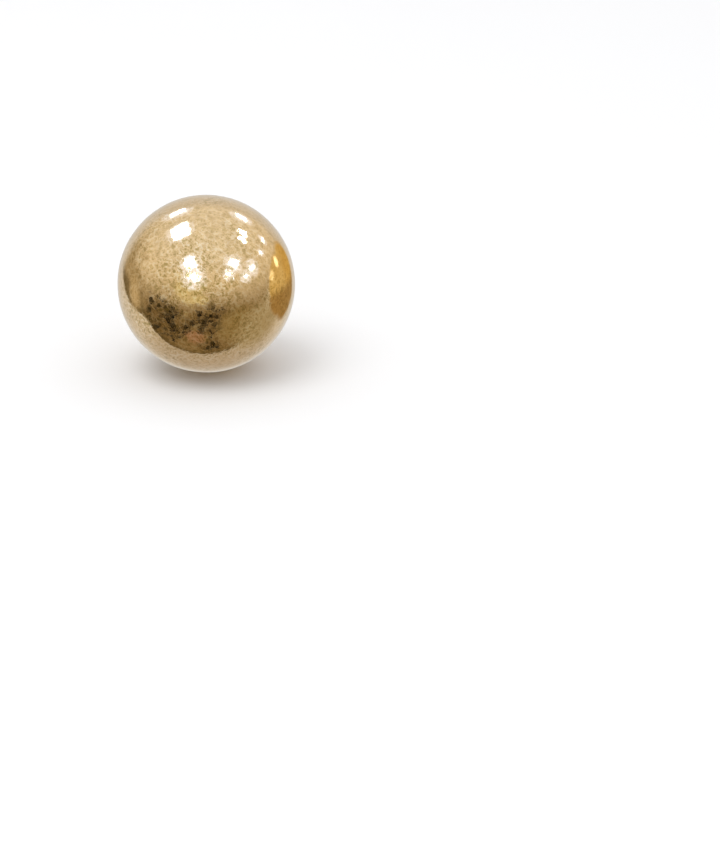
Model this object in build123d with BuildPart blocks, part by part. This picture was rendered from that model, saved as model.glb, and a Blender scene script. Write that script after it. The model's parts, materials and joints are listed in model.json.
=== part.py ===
from build123d import *

import math
import os

# Ball stud earring: a hollow metal ball cemented onto the peg and cup of an ear post.
# It lies on a level surface (Z = 0) as it comes to rest by itself, on the ball and on the post's rounded tip.
# The ball's face looks towards -Y and the post runs back towards +Y. Millimetres.

# Ball
ball_radius = 6.0
ball_wall = 0.5
cement_gap = 0.03  # all round the peg, and between ball and cup

# Peg, which enters the ball
peg_radius = 0.6
peg_depth = 1.6  # from the ball's surface inwards
peg_chamfer = 0.15

# Cup, a thin saucer with a rounded rim that seats the ball
cup_radius = 1.75
cup_thickness = 0.35
cup_root_fillet = 0.3

# Wire that goes through the ear, with a friction notch for a push-on clutch
wire_radius = 0.4
wire_reach = 11.0  # from the cup's back to the end of the tip
notch_radius = 0.35
notch_depth = 0.1
notch_from_tip = 2.6

# Distances from the ball's centre along the post
cup_inner = ball_radius + cement_gap
cup_outer = cup_inner + cup_thickness
tip_end = cup_outer + wire_reach
tip_centre = tip_end - wire_radius
notch_centre = tip_end - notch_from_tip
peg_end = ball_radius - peg_depth

# At rest the post leans down until its tip touches the surface that carries the ball
lean = math.asin((ball_radius - wire_radius) / tip_centre)
post_back = tip_centre * math.cos(lean) + wire_radius
ball_centre = (0, (ball_radius - post_back) / 2, ball_radius)

# Local Z of this plane runs from the ball's centre along the post
post_plane = Plane(
    origin=ball_centre, x_dir=(1, 0, 0), z_dir=(0, math.cos(lean), -math.sin(lean))
)
# Half sections of turned shapes: local X is the radius, local Y runs along the post
section_plane = Plane(
    origin=ball_centre, x_dir=(1, 0, 0), z_dir=(0, math.sin(lean), math.cos(lean))
)
post_axis = Axis(origin=ball_centre, direction=post_plane.z_dir)
standing = (Align.CENTER, Align.CENTER, Align.MIN)

# ---- ball: a thin shell, drilled at the back for the peg
with BuildPart(post_plane) as ball:
    Sphere(ball_radius)
    Sphere(ball_radius - ball_wall, mode=Mode.SUBTRACT)
    with Locations((0, 0, ball_radius)):
        Hole(peg_radius + cement_gap, depth=2 * ball_wall)
ball.part.label = "ball"

# ---- post: peg, cup and wire, turned in one piece
cup_angle = math.degrees(math.asin(cup_radius / cup_inner))
with BuildPart(post_plane) as post:
    with BuildSketch(section_plane):
        with BuildLine():
            front = CenterArc((0, 0), cup_inner, 90 - cup_angle, cup_angle)
            back = CenterArc((0, 0), cup_outer, 90 - cup_angle, cup_angle)
            Line(front @ 1, back @ 1)
            RadiusArc(front @ 0, back @ 0, -cup_thickness / 2)
        make_face()
    revolve(axis=post_axis)

    with Locations((0, 0, cup_inner)):
        Cylinder(wire_radius, tip_centre - cup_inner, align=standing)
    cup_root = post.edges(Select.NEW).filter_by(GeomType.CIRCLE).sort_by(post_axis)[0]
    fillet(cup_root, cup_root_fillet)
    with Locations((0, 0, tip_centre)):
        Sphere(wire_radius)
    with Locations((0, 0, notch_centre)):
        Torus(wire_radius + notch_radius - notch_depth, notch_radius, mode=Mode.SUBTRACT)

    with Locations((0, 0, peg_end)):
        Cylinder(peg_radius, cup_inner - peg_end, align=standing)
    peg_rim = post.edges().filter_by(GeomType.CIRCLE).sort_by(post_axis)[0]
    chamfer(peg_rim, peg_chamfer)
post.part.label = "post"

os.makedirs("parts", exist_ok=True)
export_step(ball.part, "parts/ball.step")
export_step(post.part, "parts/post.step")
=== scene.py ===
import json
import math

import bmesh
import bpy
import numpy as np
from mathutils import Matrix, Vector, noise


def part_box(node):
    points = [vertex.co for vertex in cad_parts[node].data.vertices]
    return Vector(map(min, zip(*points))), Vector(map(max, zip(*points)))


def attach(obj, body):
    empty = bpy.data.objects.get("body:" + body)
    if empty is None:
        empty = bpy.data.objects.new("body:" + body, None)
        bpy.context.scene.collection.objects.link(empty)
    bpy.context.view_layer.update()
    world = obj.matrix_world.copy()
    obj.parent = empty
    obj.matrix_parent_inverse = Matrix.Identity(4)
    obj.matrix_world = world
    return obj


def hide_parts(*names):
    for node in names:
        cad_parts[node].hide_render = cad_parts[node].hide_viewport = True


# Looks of a ball stud earring: a worn gold ball on the cup of a turned ear post.
# Metres, in the frame's axes.

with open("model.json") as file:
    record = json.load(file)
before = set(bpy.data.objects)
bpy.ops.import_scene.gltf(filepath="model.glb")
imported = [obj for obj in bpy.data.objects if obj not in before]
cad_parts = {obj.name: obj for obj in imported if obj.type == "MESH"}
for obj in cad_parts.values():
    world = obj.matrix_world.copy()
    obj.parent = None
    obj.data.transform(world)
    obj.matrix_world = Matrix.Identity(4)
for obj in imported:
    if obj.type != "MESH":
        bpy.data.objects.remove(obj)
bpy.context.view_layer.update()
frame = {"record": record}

MM = 0.001
NOISE_SEED = 7
noise.seed_set(NOISE_SEED)  # without it noise_vector starts from the clock, and the relief changes each run

# ---- Sizes taken from the frame
post_mount = frame["record"]["mounts"][0]
post_direction = Vector(post_mount["axis"]).normalized()
ball_low, ball_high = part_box("ball")
ball_centre = (ball_low + ball_high) / 2
ball_radius = (ball_high.z - ball_low.z) / 2
wire_radius = post_mount["dims"]["r_mm"] * MM
tip_centre = (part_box("post")[1].y - wire_radius - ball_centre.y) / post_direction.y

# ---- Other sizes of the ball and the post
BALL_WALL = 0.5 * MM
CEMENT_GAP = 0.03 * MM
PEG_RADIUS = 0.6 * MM
PEG_DEPTH = 1.6 * MM
PEG_CHAMFER = 0.15 * MM
CUP_RADIUS = 1.75 * MM
CUP_THICKNESS = 0.35 * MM
CUP_ROOT_FILLET = 0.3 * MM
NOTCH_RADIUS = 0.35 * MM
NOTCH_DEPTH = 0.1 * MM
NOTCH_FROM_TIP = 2.2 * MM  # from the tip's centre

# ---- The earring's own axes: origin in the ball, X to its left, Y up its face, Z along the post
own_z = post_direction
own_x = Vector((-1, 0, 0))
own_y = own_z.cross(own_x)
own_axes = Matrix((own_x, own_y, own_z)).transposed()
EARRING_MATRIX = Matrix.Translation(ball_centre) @ own_axes.to_4x4()


# ---------------------------------------------------------------- shader helpers
def add_node(tree, kind, settings=None, **inputs):
    """A new node. Each input is another node's output to link, or a value for the node's own socket."""
    made = tree.nodes.new("ShaderNode" + kind)
    for key, value in (settings or {}).items():
        setattr(made, key, value)
    for key, value in inputs.items():
        connect(tree, made.inputs[key.replace("_", " ")], value)
    return made


def connect(tree, socket, value):
    if isinstance(value, bpy.types.NodeSocket):
        tree.links.new(value, socket)
    else:
        socket.default_value = value


def math_node(tree, operation, first, second=0.0):
    made = tree.nodes.new("ShaderNodeMath")
    made.operation = operation
    connect(tree, made.inputs[0], first)
    connect(tree, made.inputs[1], second)
    return made.outputs[0]


def ramp(tree, value, start, end, low=0.0, high=1.0):
    """A smooth step of value: low up to start, high from end on."""
    settings = {"interpolation_type": "SMOOTHSTEP"}
    limits = {"From_Min": start, "From_Max": end, "To_Min": low, "To_Max": high}
    return add_node(tree, "MapRange", settings, Value=value, **limits).outputs["Result"]


def mix_colour(tree, factor, first, second):
    made = tree.nodes.new("ShaderNodeMix")
    made.data_type = "RGBA"
    connect(tree, made.inputs[0], factor)
    connect(tree, made.inputs[6], opaque(first))
    connect(tree, made.inputs[7], opaque(second))
    return made.outputs[2]


def opaque(colour):
    return colour if isinstance(colour, bpy.types.NodeSocket) else (*colour, 1.0)


def towards(tree, place, vector):
    """How far a place or a direction reaches along vector."""
    made = add_node(tree, "VectorMath", {"operation": "DOT_PRODUCT"})
    connect(tree, made.inputs[0], place)
    made.inputs[1].default_value = vector
    return made.outputs["Value"]


def noise_value(tree, place, size, detail=2.0, roughness=0.5, distortion=0.0):
    """Noise whose features are about size metres across."""
    character = {"Detail": detail, "Roughness": roughness, "Distortion": distortion}
    return add_node(tree, "TexNoise", Vector=place, Scale=1 / size, **character).outputs["Fac"]


def product(tree, *factors):
    total = factors[0]
    for factor in factors[1:]:
        total = math_node(tree, "MULTIPLY", total, factor)
    return total


def add_bump(tree, shader, depth, height, strength=1.0):
    bump = add_node(tree, "Bump", Strength=strength, Distance=depth, Height=height)
    connect(tree, shader.inputs["Normal"], bump.outputs["Normal"])


def new_material(name):
    """An empty material with its shader and output: (material, tree, shader)."""
    material = bpy.data.materials.new(name)
    material.use_nodes = True
    tree = material.node_tree
    tree.nodes.clear()
    shader = add_node(tree, "BsdfPrincipled")
    output = add_node(tree, "OutputMaterial")
    tree.links.new(shader.outputs["BSDF"], output.inputs["Surface"])
    return material, tree, shader


# ---------------------------------------------------------------- materials
NOISE_SPAN = (0.35, 0.65)  # most of what a noise gives lies between these

PLATING = (0.90, 0.67, 0.38)
PLATING_DULL = (0.84, 0.62, 0.34)
PLATING_TARNISHED = (0.46, 0.345, 0.11)
PLATING_RUBBED = (1.0, 0.86, 0.62)
PLATING_CLOUDS = 2.2 * MM
SPECK_SIZE = 0.19 * MM
SPECK_DEPTH = 0.004 * MM
SPECK_SHARE = 0.46  # how far specks shift the relief that picks the colour
TARNISH_SPAN = (-0.25, -0.9)  # of that relief: where tarnish starts, and where it is full
RUBBED_SPAN = (-0.1, 0.7)
FLECK_SPAN = (-0.6, 0.6)
FLECK_ROUGHNESS = (0.06, 0.02)  # in the hollows, and on the creases
COAT_ROUGHNESS = 0.03


def worn_gold():
    """Old mottled plating under a clear lacquer: pale along the raised creases, olive in hollows."""
    material, tree, shader = new_material("worn_gold")
    place = add_node(tree, "TexCoord").outputs["Object"]
    relief = add_node(tree, "Attribute", {"attribute_name": "relief"}).outputs["Fac"]
    wear = add_node(tree, "Attribute", {"attribute_name": "wear"}).outputs["Fac"]

    cloud = noise_value(tree, place, PLATING_CLOUDS, detail=3.0, roughness=0.55)
    speck = noise_value(tree, place, SPECK_SIZE, detail=1.0, distortion=1.6)
    shift = ramp(tree, speck, *NOISE_SPAN, -SPECK_SHARE, SPECK_SHARE)
    fleck = math_node(tree, "ADD", relief, shift)

    colour = mix_colour(tree, ramp(tree, cloud, *NOISE_SPAN), PLATING, PLATING_DULL)
    tarnish = product(tree, wear, ramp(tree, fleck, *TARNISH_SPAN))
    rubbed = product(tree, wear, ramp(tree, fleck, *RUBBED_SPAN))
    colour = mix_colour(tree, tarnish, colour, PLATING_TARNISHED)
    colour = mix_colour(tree, rubbed, colour, PLATING_RUBBED)
    connect(tree, shader.inputs["Base Color"], colour)

    connect(tree, shader.inputs["Roughness"], ramp(tree, fleck, *FLECK_SPAN, *FLECK_ROUGHNESS))
    add_bump(tree, shader, SPECK_DEPTH, product(tree, wear, speck))
    shader.inputs["Metallic"].default_value = 1.0
    shader.inputs["Coat Weight"].default_value = 1.0
    shader.inputs["Coat Roughness"].default_value = COAT_ROUGHNESS
    return material


WIRE_GOLD = (0.94, 0.73, 0.40)
WIRE_GOLD_DULL = (0.86, 0.63, 0.31)
WIRE_CLOUDS = 1.1 * MM
WIRE_CLOUD_SPAN = (0.35, 0.68)
WIRE_ROUGH_SPAN = (0.3, 0.7)
WIRE_ROUGHNESS = (0.12, 0.24)
TURNING_PITCH = 0.05 * MM
TURNING_DEPTH = 0.0008 * MM


def post_gold():
    """Smooth gold plating over turned brass: fine rings round the post and faint clouding."""
    material, tree, shader = new_material("post_gold")
    place = add_node(tree, "TexCoord").outputs["Object"]
    along = towards(tree, place, post_direction)

    cloud = noise_value(tree, place, WIRE_CLOUDS, detail=3.0, roughness=0.6)
    colour = mix_colour(tree, ramp(tree, cloud, *WIRE_CLOUD_SPAN), WIRE_GOLD, WIRE_GOLD_DULL)
    connect(tree, shader.inputs["Base Color"], colour)
    connect(tree, shader.inputs["Roughness"], ramp(tree, cloud, *WIRE_ROUGH_SPAN, *WIRE_ROUGHNESS))

    ring_place = add_node(tree, "CombineXYZ", X=along).outputs["Vector"]
    add_bump(tree, shader, TURNING_DEPTH, noise_value(tree, ring_place, TURNING_PITCH))
    shader.inputs["Metallic"].default_value = 1.0
    return material


FLOOR_WHITE = (0.87, 0.87, 0.87)
FLOOR_GREYER = (0.85, 0.85, 0.85)
FLOOR_CLOUDS = 60 * MM
TOOTH_SIZE = 0.4 * MM
TOOTH_DEPTH = 0.004 * MM
TOOTH_STRENGTH = 0.3
FLOOR_ROUGHNESS = 0.8
FLOOR_GLOSS = 0.2


def pale_floor():
    """A plain pale board with a faint tooth."""
    material, tree, shader = new_material("pale_floor")
    place = add_node(tree, "TexCoord").outputs["Object"]
    cloud = noise_value(tree, place, FLOOR_CLOUDS)
    connect(tree, shader.inputs["Base Color"], mix_colour(tree, cloud, FLOOR_GREYER, FLOOR_WHITE))
    add_bump(tree, shader, TOOTH_DEPTH, noise_value(tree, place, TOOTH_SIZE), TOOTH_STRENGTH)
    shader.inputs["Roughness"].default_value = FLOOR_ROUGHNESS
    shader.inputs["Specular IOR Level"].default_value = FLOOR_GLOSS
    return material


# ---------------------------------------------------------------- the ball
SKIN_CELLS = 126  # along each side of the six patches of the ball's outer skin
HOLE_CELLS = 8  # of those, from the hole's centre to its edge
INNER_RINGS = 24
WELD_DISTANCE = 0.002 * MM

SWELL_SIZE = 1.4 * MM
SWELL_HEIGHT = 0.010 * MM
RIPPLE_SIZE = 0.23 * MM
CREASE_SIZE = 0.38 * MM
CREASE_SHARPNESS = 7.0
RELIEF_HEIGHT = 0.003 * MM
RIPPLE_WEIGHT = 0.85
CREASE_WEIGHT = 1.35
RELIEF_SHIFT = 0.4
WARP_SIZE = 0.9 * MM  # of the bends that ripples and creases follow
WARP_REACH = 0.5
WEAR_PATCH_SIZE = 1.9 * MM
WORN_SIDE = Vector((-0.25, -0.9, 0.15)).normalized()
WORN_FROM = 0.45  # cosine of the angle to the worn side where wear begins to grow
WORN_OVER = 0.5  # and the rise in it until wear is full
LEAST_WEAR = 0.3
USUAL_WEAR = 0.4
WEAR_SWING = 0.5

# Each noise starts from its own place
WEAR_SEED = Vector((3.1, 7.7, 1.9))
CREASE_SEED = Vector((5.0, 1.0, 8.0))
SWELL_SEED = Vector((9.0, 2.0, 4.0))

# The six patches: outward direction, then the two directions along the patch
CUBE_SIDES = (
    ((0, 0, 1), (1, 0, 0), (0, 1, 0)),
    ((0, 0, -1), (0, 1, 0), (1, 0, 0)),
    ((1, 0, 0), (0, 1, 0), (0, 0, 1)),
    ((-1, 0, 0), (0, 0, 1), (0, 1, 0)),
    ((0, 1, 0), (0, 0, 1), (1, 0, 0)),
    ((0, -1, 0), (1, 0, 0), (0, 0, 1)),
)


def skin_patch(side, cells):
    """One of the six patches that make a sphere of nearly even cells.

    Gives each corner's direction, its angle from the middle of the patch, and the quads.
    """
    out, across, up = (np.array(v, float) for v in side)
    angles = np.linspace(-math.pi / 4, math.pi / 4, cells + 1)
    slope = np.tan(angles)
    grid = out + slope[:, None, None] * across + slope[None, :, None] * up
    directions = grid / np.linalg.norm(grid, axis=2, keepdims=True)
    reach = np.maximum(np.abs(angles)[:, None], np.abs(angles)[None, :])
    number = np.arange((cells + 1) ** 2).reshape(cells + 1, cells + 1)
    quads = np.stack([number[:-1, :-1], number[1:, :-1], number[1:, 1:], number[:-1, 1:]], axis=2)
    return directions, reach, quads


def open_hole(directions, reach, quads, hole_angle):
    """Takes out the cells over the peg hole and rounds the square edge that is left."""
    cells = len(reach) - 1
    edge = HOLE_CELLS * (math.pi / 2) / cells
    tilt = np.arccos(np.clip(directions[..., 2], -1, 1))
    blend = np.clip((reach - edge) / edge, 0, 1)
    new_tilt = hole_angle * (reach / edge) * (1 - blend) + tilt * blend
    flat = np.hypot(directions[..., 0], directions[..., 1]) + 1e-12
    directions[..., 0] *= np.sin(new_tilt) / flat
    directions[..., 1] *= np.sin(new_tilt) / flat
    directions[..., 2] = np.cos(new_tilt)
    middle = np.abs(np.arange(cells) + 0.5 - cells / 2)
    kept = np.maximum(middle[:, None], middle[None, :]) > HOLE_CELLS
    return directions, quads[kept]


def outer_skin(bm, radius, hole_angle):
    """The six patches welded into a sphere, the first with the peg hole in it."""
    for index, side in enumerate(CUBE_SIDES):
        directions, reach, quads = skin_patch(side, SKIN_CELLS)
        if index == 0:
            directions, quads = open_hole(directions, reach, quads, hole_angle)
        verts = [bm.verts.new(radius * d) for d in directions.reshape(-1, 3)]
        for quad in quads.reshape(-1, 4):
            bm.faces.new([verts[i] for i in quad])
    bmesh.ops.delete(bm, geom=[v for v in bm.verts if not v.link_faces], context="VERTS")
    bmesh.ops.remove_doubles(bm, verts=bm.verts, dist=WELD_DISTANCE)


def wear_at(place):
    """How worn the plating is at a place on the ball, from 0 to 1: most on the face, and patchy."""
    broad = noise.noise(place / WEAR_PATCH_SIZE + WEAR_SEED)
    facing = (own_axes @ place).normalized().dot(WORN_SIDE)
    share = min(1.0, max(0.0, (facing - WORN_FROM) / WORN_OVER))
    return min(1.0, max(LEAST_WEAR, USUAL_WEAR + WEAR_SWING * share + WEAR_SWING * broad))


def relief_at(place):
    """The fine relief of the plating, from about -1 in a hollow to 1 on a crease."""
    warp = noise.noise_vector(place / WARP_SIZE) * WARP_REACH
    ripple = noise.noise(place / RIPPLE_SIZE + warp)
    line = noise.noise(place / CREASE_SIZE + warp + CREASE_SEED)
    crease = max(0.0, 1 - CREASE_SHARPNESS * abs(line))
    return RIPPLE_WEIGHT * ripple + CREASE_WEIGHT * crease - RELIEF_SHIFT


def wear_skin(bm):
    """Roughens the outer skin, and keeps at each vertex how worn it is and its relief."""
    wear_layer = bm.verts.layers.float.new("wear")
    relief_layer = bm.verts.layers.float.new("relief")
    for v in bm.verts:
        wear = wear_at(v.co)
        relief = relief_at(v.co)
        swell = noise.noise(v.co / SWELL_SIZE + SWELL_SEED)
        v[wear_layer] = wear
        v[relief_layer] = relief
        if not v.is_boundary:
            v.co += v.co.normalized() * (SWELL_HEIGHT * swell + wear * RELIEF_HEIGHT * relief)


def inner_skin(bm, edges, hole_radius, inner_radius):
    """The hole's wall and the inside of the shell, from the hole's edge to the far pole."""
    start = math.asin(hole_radius / inner_radius)
    for ring in range(INNER_RINGS):
        tilt = start + (math.pi - start) * ring / INNER_RINGS
        made = bmesh.ops.extrude_edge_only(bm, edges=edges)["geom"]
        edges = [g for g in made if isinstance(g, bmesh.types.BMEdge)]
        for v in (g for g in made if isinstance(g, bmesh.types.BMVert)):
            turn = math.atan2(v.co.y, v.co.x)
            flat = inner_radius * math.sin(tilt)
            v.co = (flat * math.cos(turn), flat * math.sin(turn), inner_radius * math.cos(tilt))
    bmesh.ops.contextual_create(bm, geom=edges)


def make_ball():
    """The hollow ball, open at the back where the peg enters."""
    hole_radius = PEG_RADIUS + CEMENT_GAP
    bm = bmesh.new()
    outer_skin(bm, ball_radius, math.asin(hole_radius / ball_radius))
    wear_skin(bm)
    rim = [e for e in bm.edges if e.is_boundary]
    inner_skin(bm, rim, hole_radius, ball_radius - BALL_WALL)
    bmesh.ops.recalc_face_normals(bm, faces=bm.faces)
    return finished_piece("worn_ball", bm, worn_gold(), "ball")


# ---------------------------------------------------------------- the post
POST_SEGMENTS = 96
ON_AXIS = 1e-9  # a ring narrower than this is a single point


def arc(centre, radius, start, end, steps):
    """Points (along, out) on an arc of a half section. Angles run from the direction along the post."""
    angles = [start + (end - start) * i / steps for i in range(steps + 1)]
    return [(centre[0] + radius * math.cos(a), centre[1] + radius * math.sin(a)) for a in angles]


def post_profile():
    """Half section of peg, cup, wire, notch and tip: (along, out) from the peg's end to the tip's end."""
    cup_inner = ball_radius + CEMENT_GAP
    cup_outer = cup_inner + CUP_THICKNESS
    peg_end = ball_radius - PEG_DEPTH
    cup_angle = math.asin(CUP_RADIUS / cup_inner)
    rim_centre = (cup_inner + CUP_THICKNESS / 2) * Vector((math.cos(cup_angle), math.sin(cup_angle)))
    fillet_reach = cup_outer + CUP_ROOT_FILLET
    fillet_out = wire_radius + CUP_ROOT_FILLET
    fillet_angle = math.asin(fillet_out / fillet_reach)
    fillet_centre = (fillet_reach * math.cos(fillet_angle), fillet_out)
    notch_centre = (tip_centre - NOTCH_FROM_TIP, wire_radius + NOTCH_RADIUS - NOTCH_DEPTH)
    notch_half = math.acos((NOTCH_RADIUS - NOTCH_DEPTH) / NOTCH_RADIUS)

    peg = [(peg_end, 0), (peg_end, PEG_RADIUS - PEG_CHAMFER), (peg_end + PEG_CHAMFER, PEG_RADIUS)]
    front = arc((0, 0), cup_inner, math.asin(PEG_RADIUS / cup_inner), cup_angle, 12)
    rim = arc(rim_centre, CUP_THICKNESS / 2, cup_angle + math.pi, cup_angle, 16)
    back = arc((0, 0), cup_outer, cup_angle, fillet_angle, 14)
    root = arc(fillet_centre, CUP_ROOT_FILLET, fillet_angle + math.pi, 1.5 * math.pi, 10)
    notch = arc(notch_centre, NOTCH_RADIUS, 1.5 * math.pi - notch_half, 1.5 * math.pi + notch_half, 12)
    tip = arc((tip_centre, 0), wire_radius, math.pi / 2, 0, 14)
    return peg + front + rim[1:-1] + back + root[1:] + notch + tip


def turned(profile, segments):
    """A closed solid of revolution about Z."""
    bm = bmesh.new()
    rings = []
    for along, out in profile:
        count = segments if out > ON_AXIS else 1
        angles = [2 * math.pi * k / segments for k in range(count)]
        rings.append([bm.verts.new((out * math.cos(a), out * math.sin(a), along)) for a in angles])
    for low, high in zip(rings, rings[1:]):
        for k in range(segments):
            around = ((low, k), (low, k + 1), (high, k + 1), (high, k))
            corners = [ring[i % len(ring)] for ring, i in around]
            bm.faces.new(list(dict.fromkeys(corners)))
    return bm


def make_post():
    """Peg, cup, wire, notch and tip, turned in one piece."""
    bm = turned(post_profile(), POST_SEGMENTS)
    bmesh.ops.recalc_face_normals(bm, faces=bm.faces)
    return finished_piece("ear_post", bm, post_gold(), "post")


def finished_piece(name, bm, material, node):
    """The mesh as a smooth object in the earring's own axes, in place of its CAD node."""
    mesh = bpy.data.meshes.new(name)
    bm.to_mesh(mesh)
    bm.free()
    mesh.materials.append(material)
    mesh.shade_smooth()
    mesh.transform(EARRING_MATRIX)
    piece = bpy.data.objects.new(name, mesh)
    bpy.context.scene.collection.objects.link(piece)
    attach(piece, "root")
    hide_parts(node)
    return piece


# ---------------------------------------------------------------- studio
FLOOR_HALF = 3.0
CEILING_HEIGHT = 0.3  # of the light panels, above the ball's centre
CEILING_ANGLE = 0.063  # radians, about the vertical
CEILING_TURN = Matrix.Rotation(CEILING_ANGLE, 4, "Z")
PANEL_RADIANCE = 10.0
PANEL_COLOUR = (0.64, 0.74, 1.0)

KEY_PLACE = Vector((-0.12, -0.10, 0.32))
KEY_SIZE = 0.22
KEY_RADIANCE = 2.5

# Light panels on a level ceiling, in ceiling heights: (across, back, width, length)
PANELS = (
    (-0.44, 1.16, 0.32, 0.30),
    (-0.48, 0.20, 0.40, 0.40),
    (-0.56, -0.93, 0.36, 0.36),
    (-0.72, -1.86, 0.38, 0.46),
    (0.78, 1.01, 0.28, 0.26),
    (0.79, 0.25, 0.20, 0.15),
    (0.82, 0.02, 0.22, 0.10),
    (0.87, -0.93, 0.34, 0.32),
    (0.92, -1.68, 0.20, 0.26),
    (1.76, 0.91, 0.16, 0.16),
    (1.94, 0.16, 0.14, 0.18),
    (2.06, -0.84, 0.30, 0.24),
    (2.26, -1.72, 0.26, 0.26),
)


def make_floor():
    bm = bmesh.new()
    bmesh.ops.create_grid(bm, x_segments=8, y_segments=8, size=FLOOR_HALF)
    mesh = bpy.data.meshes.new("floor")
    bm.to_mesh(mesh)
    bm.free()
    mesh.materials.append(pale_floor())
    floor = bpy.data.objects.new("floor", mesh)
    bpy.context.scene.collection.objects.link(floor)
    floor.visible_glossy = False


def make_panels():
    for across, back, width, length in PANELS:
        light = bpy.data.lights.new("ceiling_panel", "AREA")
        light.shape = "RECTANGLE"
        light.size = width * CEILING_HEIGHT
        light.size_y = length * CEILING_HEIGHT
        light.color = PANEL_COLOUR
        light.energy = PANEL_RADIANCE * math.pi * light.size * light.size_y
        panel = bpy.data.objects.new("ceiling_panel", light)
        bpy.context.scene.collection.objects.link(panel)
        panel.matrix_world = Matrix.Translation(ball_centre + panel_offset(across, back)) @ CEILING_TURN
        panel.visible_camera = False
        panel.visible_diffuse = False


def panel_offset(across, back):
    """From the ball's centre to a panel's."""
    return CEILING_TURN @ Vector((across, back, 1)) * CEILING_HEIGHT


def make_key_light():
    """One large soft light over the floor, which the gold doesn't show."""
    light = bpy.data.lights.new("key", "AREA")
    light.size = KEY_SIZE
    light.energy = KEY_RADIANCE * math.pi * KEY_SIZE ** 2
    key = bpy.data.objects.new("key", light)
    bpy.context.scene.collection.objects.link(key)
    key.location = ball_centre + KEY_PLACE
    key.rotation_euler = (-KEY_PLACE).to_track_quat("-Z", "Y").to_euler()
    key.visible_camera = False
    key.visible_glossy = False


# ---------------------------------------------------------------- what the gold reflects
# Headings are in degrees: azimuth 0 is in front of the earring and 90 to its right. Heights are the Z of a
# direction, from -1 straight down to 1 straight up. A pair of numbers is where a soft step starts and ends.

# The room, from low to high
ROOM_LOW = (0.25, 0.18, 0.09)
ROOM_SIDE = (0.84, 0.76, 0.62)
ROOM_TOP = (0.92, 0.89, 0.83)
SIDE_HEIGHTS = (-0.45, 0.42)
TOP_HEIGHTS = (0.3, 0.9)
ROOM_SHADE = (0.30, 0.24, 0.14)
SHADE_SIZE = 0.08
SHADE_SHARE = 0.25

# How far the directions of ragged things are shaken, and over what size
SHAKE_SIZE = 0.25
SHAKE_REACH = 0.5

# Where dark things crowd in the room: (azimuth, elevation, half angle)
DARK_CLUSTERS = ((-60, -30, 34), (3, -26, 22), (-5, -60, 11), (32, -29, 10))
GLOOM = (0.14, 0.09, 0.04)
GLOOM_FULL_AT = 0.8
GLOOM_SHARE = 0.42
BLACK_THINGS = (0.01, 0.008, 0.005)
CLUTTER_SIZE = 0.075
CROWD_FULL_AT = 0.6
CROWD_LIFT = 0.11
THINGS_FULL_AT = 0.12
THINGS_SPAN = (0.605, 0.635)

# Patches of the room: (azimuth, elevation, half angle, soft edge, colour), ragged ones and clear ones
RAGGED_PATCHES = (
    (-120, -11, 40, 32, (0.46, 0.37, 0.23)),
    (-22, 8, 28, 26, (0.76, 0.68, 0.43)),
)
CLEAR_PATCHES = (
    (-105, -12, 16, 16, (0.56, 0.46, 0.30)),
    (45, -35, 30, 24, (0.30, 0.23, 0.11)),
    (84, -38, 36, 32, (0.42, 0.36, 0.24)),
    (-22, -54, 12, 6, (0.34, 0.21, 0.13)),
)

# A warm rounded thing close by on the right: the two rounds of its outline, and the patches on it
WARM_ROUNDS = ((111, -8, 25, 5), (125, -10, 25, 5))
WARM_PATCHES = (
    (142, -6, 26, 26, (0.62, 0.40, 0.11)),
    (114, 8, 6, 5, (2.00, 1.75, 1.20)),
    (97, 4, 6, 6, (1.30, 1.12, 0.70)),
)
WARM_TOP = (0.70, 0.52, 0.22)
WARM_LOW = (0.37, 0.24, 0.09)
WARM_HEIGHTS = (-0.30, -0.13)

# The glow round each ceiling panel reaches GLOW_REACH degrees times the panel's size, less GLOW_LESS degrees
PANEL_GLOW = (1.16, 1.26, 1.62)
GLOW_REACH = 54
GLOW_LESS = 3

# The pale board below. FRONT_LINE, LEFT_LINE_FRONT and FRONT_EDGE are measured along BOARD_FRONT. The other
# lines and edges are places on the board, in depths below the ball's centre.
BOARD = (0.68, 0.64, 0.58)
BOARD_SHADE = (0.49, 0.44, 0.39)
SHADE_HEIGHTS = (-0.95, -0.5)
BOARD_DARK_EDGE = (0.11, 0.08, 0.03)
DARK_EDGE_SHARE = 0.7
BOARD_FRONT = Vector((0.09, 1.0, -0.10))
BOARD_FLARE = 0.45
LEAST_DEPTH = 0.02
BELOW_HEIGHTS = (-0.05, -0.15)
FRONT_LINE = (-0.14, -0.02)
FRONT_LINE_END = (0.9, 0.5)
LEFT_LINE = (-2.5, -1.9)
LEFT_LINE_FRONT = (0.0, 0.2)
LEFT_LINE_SHARE = 0.6
FRONT_EDGE = (-0.02, 0.02)
LEFT_EDGE = (-1.9, -1.6)
BACK_EDGE = (6.0, 4.0)
RISE_BEHIND = (0.68, 0.86)

# What the camera sees behind the floor, and what lights the floor
BACKDROP = (0.94, 0.94, 0.94)
FILL = (0.98, 0.98, 0.99)


def heading(azimuth, elevation):
    """The direction with that azimuth and elevation, in degrees."""
    a = math.radians(azimuth)
    e = math.radians(elevation)
    return Vector((math.sin(a) * math.cos(e), -math.cos(a) * math.cos(e), math.sin(e)))


def nearness(tree, direction, azimuth, elevation, half, soft):
    """1 towards that heading, 0 beyond half degrees from it."""
    outer = math.cos(math.radians(half))
    inner = math.cos(math.radians(half - soft))
    return ramp(tree, towards(tree, direction, heading(azimuth, elevation)), outer, inner)


def add_patch(tree, direction, under, patch):
    """A soft round patch over what is under it."""
    azimuth, elevation, half, soft, colour = patch
    return mix_colour(tree, nearness(tree, direction, azimuth, elevation, half, soft), under, colour)


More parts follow.
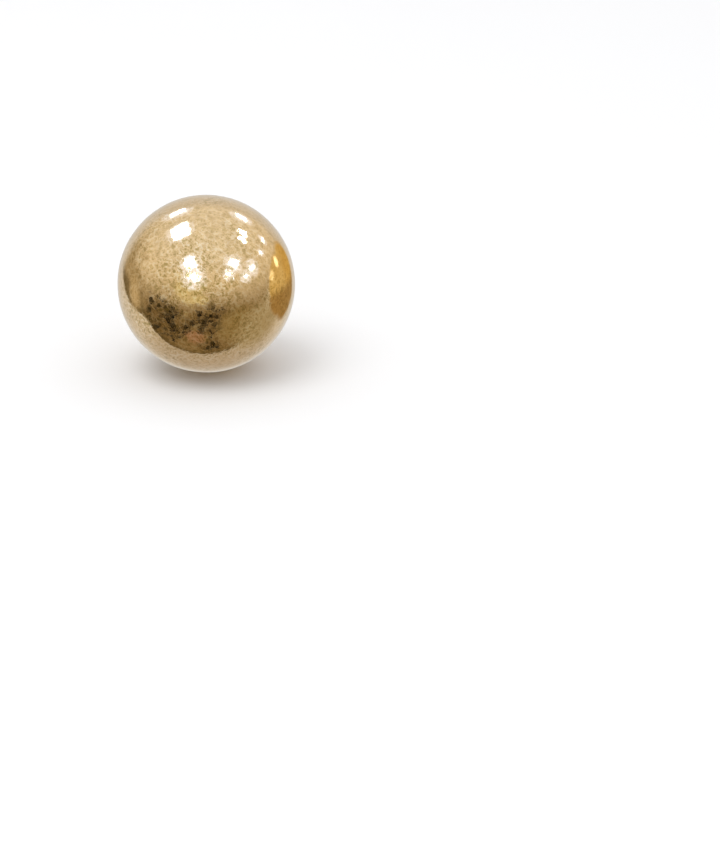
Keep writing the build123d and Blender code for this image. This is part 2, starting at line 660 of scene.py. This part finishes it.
def uneven(tree, direction, size, reach):
    """The direction shaken by up to about reach, so that the edges of things come out ragged."""
    shake = add_node(tree, "TexNoise", Vector=direction, Scale=1 / size, Detail=2.0).outputs["Color"]
    middle = add_node(tree, "VectorMath", {"operation": "SUBTRACT"})
    connect(tree, middle.inputs[0], shake)
    middle.inputs[1].default_value = (0.5, 0.5, 0.5)
    moved = add_node(tree, "VectorMath", {"operation": "MULTIPLY_ADD"})
    connect(tree, moved.inputs[0], middle.outputs["Vector"])
    moved.inputs[1].default_value = (reach, reach, reach)
    connect(tree, moved.inputs[2], direction)
    return moved.outputs["Vector"]


def add_board(tree, parts, direction, under):
    """The pale board that the earring lies on, dark along its front and left edges, rising to a backdrop."""
    depth = math_node(tree, "MAXIMUM", product(tree, parts["Z"], -1.0), LEAST_DEPTH)
    across = math_node(tree, "DIVIDE", parts["X"], depth)
    back = math_node(tree, "DIVIDE", parts["Y"], depth)
    front = towards(tree, direction, BOARD_FRONT)
    left = math_node(tree, "ADD", across, product(tree, back, BOARD_FLARE))
    below = ramp(tree, parts["Z"], *BELOW_HEIGHTS)

    front_line = product(tree, ramp(tree, front, *FRONT_LINE), ramp(tree, across, *FRONT_LINE_END))
    left_share = ramp(tree, front, *LEFT_LINE_FRONT, 0.0, LEFT_LINE_SHARE)
    left_line = product(tree, ramp(tree, left, *LEFT_LINE), left_share)
    line = product(tree, math_node(tree, "MAXIMUM", front_line, left_line), DARK_EDGE_SHARE)
    colour = mix_colour(tree, product(tree, line, below), under, BOARD_DARK_EDGE)

    side = product(tree, ramp(tree, front, *FRONT_EDGE), ramp(tree, left, *LEFT_EDGE))
    cover = product(tree, below, ramp(tree, back, *BACK_EDGE), side)
    board = mix_colour(tree, ramp(tree, parts["Z"], *SHADE_HEIGHTS), BOARD_SHADE, BOARD)
    colour = mix_colour(tree, cover, colour, board)
    return mix_colour(tree, ramp(tree, parts["Y"], *RISE_BEHIND), colour, BOARD)


def add_warm_thing(tree, parts, direction, under):
    """The warm rounded thing on the right, brown below and with two glints, over what is under it."""
    colour = WARM_TOP
    for patch in WARM_PATCHES:
        colour = add_patch(tree, direction, colour, patch)
    colour = mix_colour(tree, ramp(tree, parts["Z"], *WARM_HEIGHTS), WARM_LOW, colour)
    left, right = (nearness(tree, direction, *outline) for outline in WARM_ROUNDS)
    return mix_colour(tree, math_node(tree, "MAXIMUM", left, right), under, colour)


def add_dark_things(tree, direction, around, under):
    """Gloom where things crowd in the room, and small black things in it."""
    crowd = 0.0
    for azimuth, elevation, half in DARK_CLUSTERS:
        crowd = math_node(tree, "ADD", crowd, nearness(tree, around, azimuth, elevation, half, half))
    gloom = ramp(tree, crowd, 0.0, GLOOM_FULL_AT, 0.0, GLOOM_SHARE)
    colour = mix_colour(tree, gloom, under, GLOOM)

    clutter = noise_value(tree, direction, CLUTTER_SIZE, detail=1.0, distortion=0.6)
    crowded = math_node(tree, "ADD", clutter, ramp(tree, crowd, 0.0, CROWD_FULL_AT, 0.0, CROWD_LIFT))
    things = product(tree, ramp(tree, crowd, 0.0, THINGS_FULL_AT), ramp(tree, crowded, *THINGS_SPAN))
    return mix_colour(tree, things, colour, BLACK_THINGS)


def add_panel_glow(tree, direction, under):
    """The soft glow round each ceiling panel."""
    colour = under
    for across, back, width, length in PANELS:
        facing = towards(tree, direction, panel_offset(across, back).normalized())
        reach = math.radians(GLOW_REACH * math.sqrt(width * length) - GLOW_LESS)
        colour = mix_colour(tree, ramp(tree, facing, math.cos(reach), 1.0), colour, PANEL_GLOW)
    return colour


def room_colour(tree, direction):
    """What the gold reflects in each direction, apart from the panels themselves."""
    parts = add_node(tree, "SeparateXYZ", Vector=direction).outputs
    around = uneven(tree, direction, SHAKE_SIZE, SHAKE_REACH)
    colour = mix_colour(tree, ramp(tree, parts["Z"], *SIDE_HEIGHTS), ROOM_LOW, ROOM_SIDE)
    colour = mix_colour(tree, ramp(tree, parts["Z"], *TOP_HEIGHTS), colour, ROOM_TOP)
    colour = add_dark_things(tree, direction, around, colour)
    for patch in RAGGED_PATCHES:
        colour = add_patch(tree, around, colour, patch)

    cloud = noise_value(tree, direction, SHADE_SIZE)
    colour = mix_colour(tree, ramp(tree, cloud, *NOISE_SPAN, 0.0, SHADE_SHARE), colour, ROOM_SHADE)
    colour = add_panel_glow(tree, direction, colour)
    colour = add_board(tree, parts, direction, colour)
    for patch in CLEAR_PATCHES:
        colour = add_patch(tree, direction, colour, patch)
    return add_warm_thing(tree, parts, direction, colour)


def make_world():
    """Even white fill for the floor, a plain backdrop for the camera, and a room for the gold to reflect."""
    world = bpy.data.worlds.new("studio")
    bpy.context.scene.world = world
    world.use_nodes = True
    tree = world.node_tree
    tree.nodes.clear()
    direction = add_node(tree, "TexCoord").outputs["Generated"]
    ray = add_node(tree, "LightPath").outputs
    colour = mix_colour(tree, ray["Is Glossy Ray"], FILL, room_colour(tree, direction))
    colour = mix_colour(tree, ray["Is Camera Ray"], colour, BACKDROP)
    background = add_node(tree, "Background", Color=colour)
    output = add_node(tree, "OutputWorld")
    tree.links.new(background.outputs["Background"], output.inputs["Surface"])


# ---------------------------------------------------------------- camera
LENS = 135.0
SENSOR = 36.0
BALL_SHARE = 0.2049  # of the picture's height
AIM_RIGHT = 0.853  # ball diameters, from the ball's centre to the picture's centre
AIM_DOWN = 0.853
CLIP_START = 0.01
CLIP_END = 20.0


def make_camera():
    data = bpy.data.cameras.new("camera")
    data.lens = LENS
    data.sensor_width = SENSOR
    camera = bpy.data.objects.new("camera", data)
    bpy.context.scene.collection.objects.link(camera)
    diameter = 2 * ball_radius
    distance = diameter * LENS / (BALL_SHARE * SENSOR)
    camera.location = ball_centre - post_direction * distance
    aim = ball_centre + Vector((1, 0, 0)) * AIM_RIGHT * diameter - own_y * AIM_DOWN * diameter
    camera.rotation_euler = (aim - camera.location).to_track_quat("-Z", "Y").to_euler()
    data.clip_start = CLIP_START
    data.clip_end = CLIP_END
    bpy.context.scene.camera = camera


make_ball()
make_post()
make_floor()
make_panels()
make_key_light()
make_world()
make_camera()
bpy.context.scene.view_settings.view_transform = "Standard"
